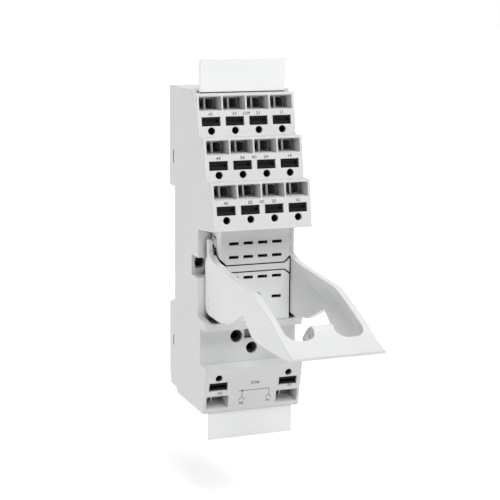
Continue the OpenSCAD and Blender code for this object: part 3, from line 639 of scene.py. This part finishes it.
class SOCKET_OT_details(bpy.types.Operator):
    """Adds the mould's small marks on the retaining clip, and a mid-grey plate of painted shade on the floor of
    the coding pocket
    """

    bl_idname = "socket.details"
    bl_label = "Moulded details"

    def execute(self, context):
        body, s = context.scene.socket_body, context.scene.socket_details
        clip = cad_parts["retaining_clip"].data.materials[0]
        marks_and_painted_shade = grey_for_marks_and_shade(body)
        low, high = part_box("retaining_clip")
        left, inner = low.x, high.x - s.arm
        # vents, an ejector pip and the gate on the outside of the left arm
        shallow_pip("mould_vent_upper", s.vent, s.proud, on_side(left, -25.5 * MM, -12.9 * MM), marks_and_painted_shade)
        shallow_pip("mould_vent_lower", s.vent, s.proud, on_side(left, -25.8 * MM, -15.0 * MM), marks_and_painted_shade)
        shallow_pip("mould_pip", s.pip, s.proud * 2, on_side(left, -33.1 * MM, -15.6 * MM), clip)
        at = on_side(left, -66.7 * MM, -1.85 * MM)
        shallow_bar("mould_gate", 2.7 * MM, 0.3 * MM, s.proud, at, marks_and_painted_shade)
        # the parting line of two mould inserts on the inside of the right arm
        start, end = Vector((-43.1, -5.6)) * MM, Vector((-57.5, -9.6)) * MM
        run, middle = end - start, (start + end) / 2
        at = on_side(inner, middle.x, middle.y, math.atan2(run.y, -run.x))
        shallow_bar("mould_parting_line", run.length, 0.12 * MM, s.proud, at, clip)
        self.hump_end(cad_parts["retaining_clip"], s, clip, marks_and_painted_shade)
        self.key_floor(body)
        return {"FINISHED"}

    def key_floor(self, body):
        """A mid-grey plate on the floor of the coding pocket beside the module's ports: painted shade, for the
        shade that falls into the pocket.
        """
        # painted shade: the plate's mid grey stands for the shade in the pocket
        pocket_shade = moulded("polyamide_painted_pocket_shade_grey", "#8B8C8A", 0.6, body.grain, 0.012 * MM, body.edge)
        low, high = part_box("module_contact_1")
        # the pocket's middle lies 2.1 mm right of the upper sleeve and 0.8 mm over its middle
        middle = Vector((high.x + 2.1 * MM, -22.95 * MM, (low.z + high.z) / 2 + 0.8 * MM))
        at = Matrix.Translation(middle) @ Matrix.Rotation(math.pi / 2, 4, "X")
        width, height, thickness = 3.0 * MM, 3.3 * MM, 0.1 * MM
        plate = shallow_bar("module_key_floor", width, height, thickness, at, pocket_shade)
        # it belongs to the socket and not to the clip
        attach(plate, "socket")

    def hump_end(self, node, s, clip, marks_and_painted_shade):
        """The hump is a rolled wall: its left end gets a raised rim, and the cross of an ejector pin in dark
        grey as painted shade.
        """
        deselect()
        rim = node.copy()
        rim.data = node.data.copy()
        rim.name = "hump_end_rim"
        bpy.context.scene.collection.objects.link(rim)
        rim.parent = None
        rim.matrix_world = Matrix.Identity(4)
        rim.select_set(True)
        bpy.context.view_layer.objects.active = rim
        bpy.ops.object.mode_set(mode="EDIT")
        bpy.ops.mesh.select_mode(type="FACE")
        bpy.ops.object.mode_set(mode="OBJECT")
        # only the hump's end is kept: it looks left and stands half the hump's width off the middle
        nearly_left, slack = -0.97, 0.12 * MM
        for face in rim.data.polygons:
            at_end = abs(face.center.x + s.hump / 2) < slack
            face.select = not (at_end and face.normal.x < nearly_left)
        bpy.ops.object.mode_set(mode="EDIT")
        bpy.ops.mesh.delete(type="FACE")
        bpy.ops.mesh.select_all(action="SELECT")
        bpy.ops.mesh.remove_doubles(threshold=0.05 * MM)
        bpy.ops.mesh.dissolve_limited(angle_limit=math.radians(20))
        bpy.ops.mesh.select_all(action="SELECT")
        bpy.ops.mesh.inset(thickness=s.wall, depth=0, use_even_offset=False)
        bpy.ops.mesh.delete(type="FACE")
        bpy.ops.mesh.select_all(action="SELECT")
        bpy.ops.mesh.extrude_region_move(TRANSFORM_OT_translate={"value": (-s.proud * 3, 0, 0)})
        bpy.ops.object.mode_set(mode="OBJECT")
        finish_with(rim, clip)
        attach(rim, "clip")
        corners = [v.co for v in rim.data.vertices]
        middle = Vector([(min(c[i] for c in corners) + max(c[i] for c in corners)) / 2 for i in range(3)])
        # painted shade: the cross is drawn in the dark grey for the shade in its lines
        for name, turn in (("rise", 0.9), ("fall", -0.7)):
            at = on_side(-s.hump / 2, middle.y, middle.z - 0.2 * MM, turn)
            shallow_bar("hump_end_cross_" + name, 1.25 * MM, 0.26 * MM, s.proud * 2, at, marks_and_painted_shade)


class SOCKET_OT_stage(bpy.types.Operator):
    """Sets up the floor, the soft studio light and the camera"""

    bl_idname = "socket.stage"
    bl_label = "Stage"

    def execute(self, context):
        s = context.scene.socket_stage
        self.floor(s)
        self.lamps(s)
        self.world(context.scene, s)
        self.camera(context.scene, s)
        return {"FINISHED"}

    def floor(self, s):
        deselect()
        backdrop = 6.0
        bpy.ops.mesh.primitive_plane_add(size=backdrop, location=(0, 0, CAD_BOX[0][2] - s.drop))
        floor = bpy.context.object
        floor.name = "studio_floor"
        paper = {"Roughness": 0.9, "Base Color": linear("#F4F4F4")}
        material, tree, shader = new_material("paper_backdrop_white", paper)
        # what the camera and shiny surfaces see is lifted to white, and the shadow stays in it
        place = add(tree, "ShaderNodeTexCoord").outputs["Object"]
        away = add(tree, "ShaderNodeVectorMath", {0: place}, operation="LENGTH")
        fade = {"From Min": s.reach / 3, "From Max": s.reach, "To Min": s.lift, "To Max": 1.0}
        level = add(tree, "ShaderNodeMapRange", {"Value": away.outputs["Value"], **fade})
        lift = add(
            tree, "ShaderNodeMath", {0: seen_directly(tree), 1: level.outputs["Result"]},
            operation="MULTIPLY",
        )
        glow = add(tree, "ShaderNodeEmission", {"Color": (1, 1, 1, 1), "Strength": lift.outputs[0]})
        both = add(tree, "ShaderNodeAddShader", {0: shader.outputs["BSDF"], 1: glow.outputs["Emission"]})
        tree.links.new(both.outputs["Shader"], tree.nodes["Material Output"].inputs["Surface"])
        finish_with(floor, material)

    def lamps(self, s):
        """Four soft boxes; each place, aim and size is in metres."""

        def soft_box(name, at, to, width, height, watts):
            lamp = bpy.data.lights.new(name, "AREA")
            lamp.shape = "RECTANGLE"
            lamp.size, lamp.size_y = width, height
            lamp.energy = watts
            obj = bpy.data.objects.new(name, lamp)
            obj.location = at
            obj.rotation_euler = (Vector(to) - Vector(at)).to_track_quat("-Z", "Y").to_euler()
            bpy.context.scene.collection.objects.link(obj)

        soft_box("key_soft_box", (0.03, -0.41, 0.61), (0, 0, 0), 0.5, 0.5, s.key)
        soft_box("front_soft_box", (0, -0.8, 0.05), (0, 0, -0.02), 0.5, 0.3, s.front)
        soft_box("back_soft_box", (0, 0.5, 0.6), (0, 0, 0), 0.6, 0.6, s.back)
        soft_box("side_soft_box", (-0.7, 0.1, 0), (0, 0, -0.03), 0.4, 0.3, s.left)

    def world(self, scene, s):
        world = bpy.data.worlds.new("studio_world")
        scene.world = world
        world.use_nodes = True
        tree = world.node_tree
        soft = tree.nodes["Background"]
        soft.inputs["Color"].default_value = (1, 1, 1, 1)
        soft.inputs["Strength"].default_value = s.sky
        white = add(tree, "ShaderNodeBackground", {"Color": (1, 1, 1, 1), "Strength": 1.0})
        blend = add(
            tree, "ShaderNodeMixShader",
            {"Fac": seen_directly(tree), 1: soft.outputs["Background"], 2: white.outputs["Background"]},
        )
        tree.links.new(blend.outputs["Shader"], tree.nodes["World Output"].inputs["Surface"])

    def camera(self, scene, s):
        lens = bpy.data.cameras.new("camera")
        lens.lens = s.lens
        lens.sensor_width = 36
        lens.clip_start, lens.clip_end = 0.01, 20
        camera = bpy.data.objects.new("camera", lens)
        scene.collection.objects.link(camera)
        level = Matrix.Rotation(-s.yaw, 4, "Z") @ Matrix.Rotation(math.pi / 2 - s.pitch, 4, "X")
        turn = level @ Matrix.Rotation(s.roll, 4, "Z")
        camera.matrix_world = Matrix.Translation(Vector(s.eye)) @ turn
        scene.camera = camera
        scene.view_settings.view_transform = "Standard"


class SOCKET_PT_panel(bpy.types.Panel):
    """Lists the steps and their settings"""

    bl_label = "Relay Socket"
    bl_idname = "SOCKET_PT_panel"
    bl_space_type = "VIEW_3D"
    bl_region_type = "UI"
    bl_category = "Relay Socket"

    def draw(self, context):
        for operator, group in (
            (SOCKET_OT_finishes, "socket_body"),
            (SOCKET_OT_marks, "socket_marks"),
            (SOCKET_OT_details, "socket_details"),
            (SOCKET_OT_stage, "socket_stage"),
        ):
            box = self.layout.box()
            box.operator(operator.bl_idname)
            settings = getattr(context.scene, group)
            for key in settings.__annotations__:
                box.prop(settings, key)


CLASSES = (
    BodySettings,
    MarkSettings,
    DetailSettings,
    StageSettings,
    SOCKET_OT_finishes,
    SOCKET_OT_marks,
    SOCKET_OT_details,
    SOCKET_OT_stage,
    SOCKET_PT_panel,
)


def register():
    for cls in CLASSES:
        bpy.utils.register_class(cls)
    bpy.types.Scene.socket_body = bpy.props.PointerProperty(type=BodySettings)
    bpy.types.Scene.socket_marks = bpy.props.PointerProperty(type=MarkSettings)
    bpy.types.Scene.socket_details = bpy.props.PointerProperty(type=DetailSettings)
    bpy.types.Scene.socket_stage = bpy.props.PointerProperty(type=StageSettings)


def unregister():
    del bpy.types.Scene.socket_body
    del bpy.types.Scene.socket_marks
    del bpy.types.Scene.socket_details
    del bpy.types.Scene.socket_stage
    for cls in reversed(CLASSES):
        bpy.utils.unregister_class(cls)


def main():
    register()
    bpy.ops.socket.finishes()
    bpy.ops.socket.marks()
    bpy.ops.socket.details()
    bpy.ops.socket.stage()


if __name__ == "__main__":
    main()
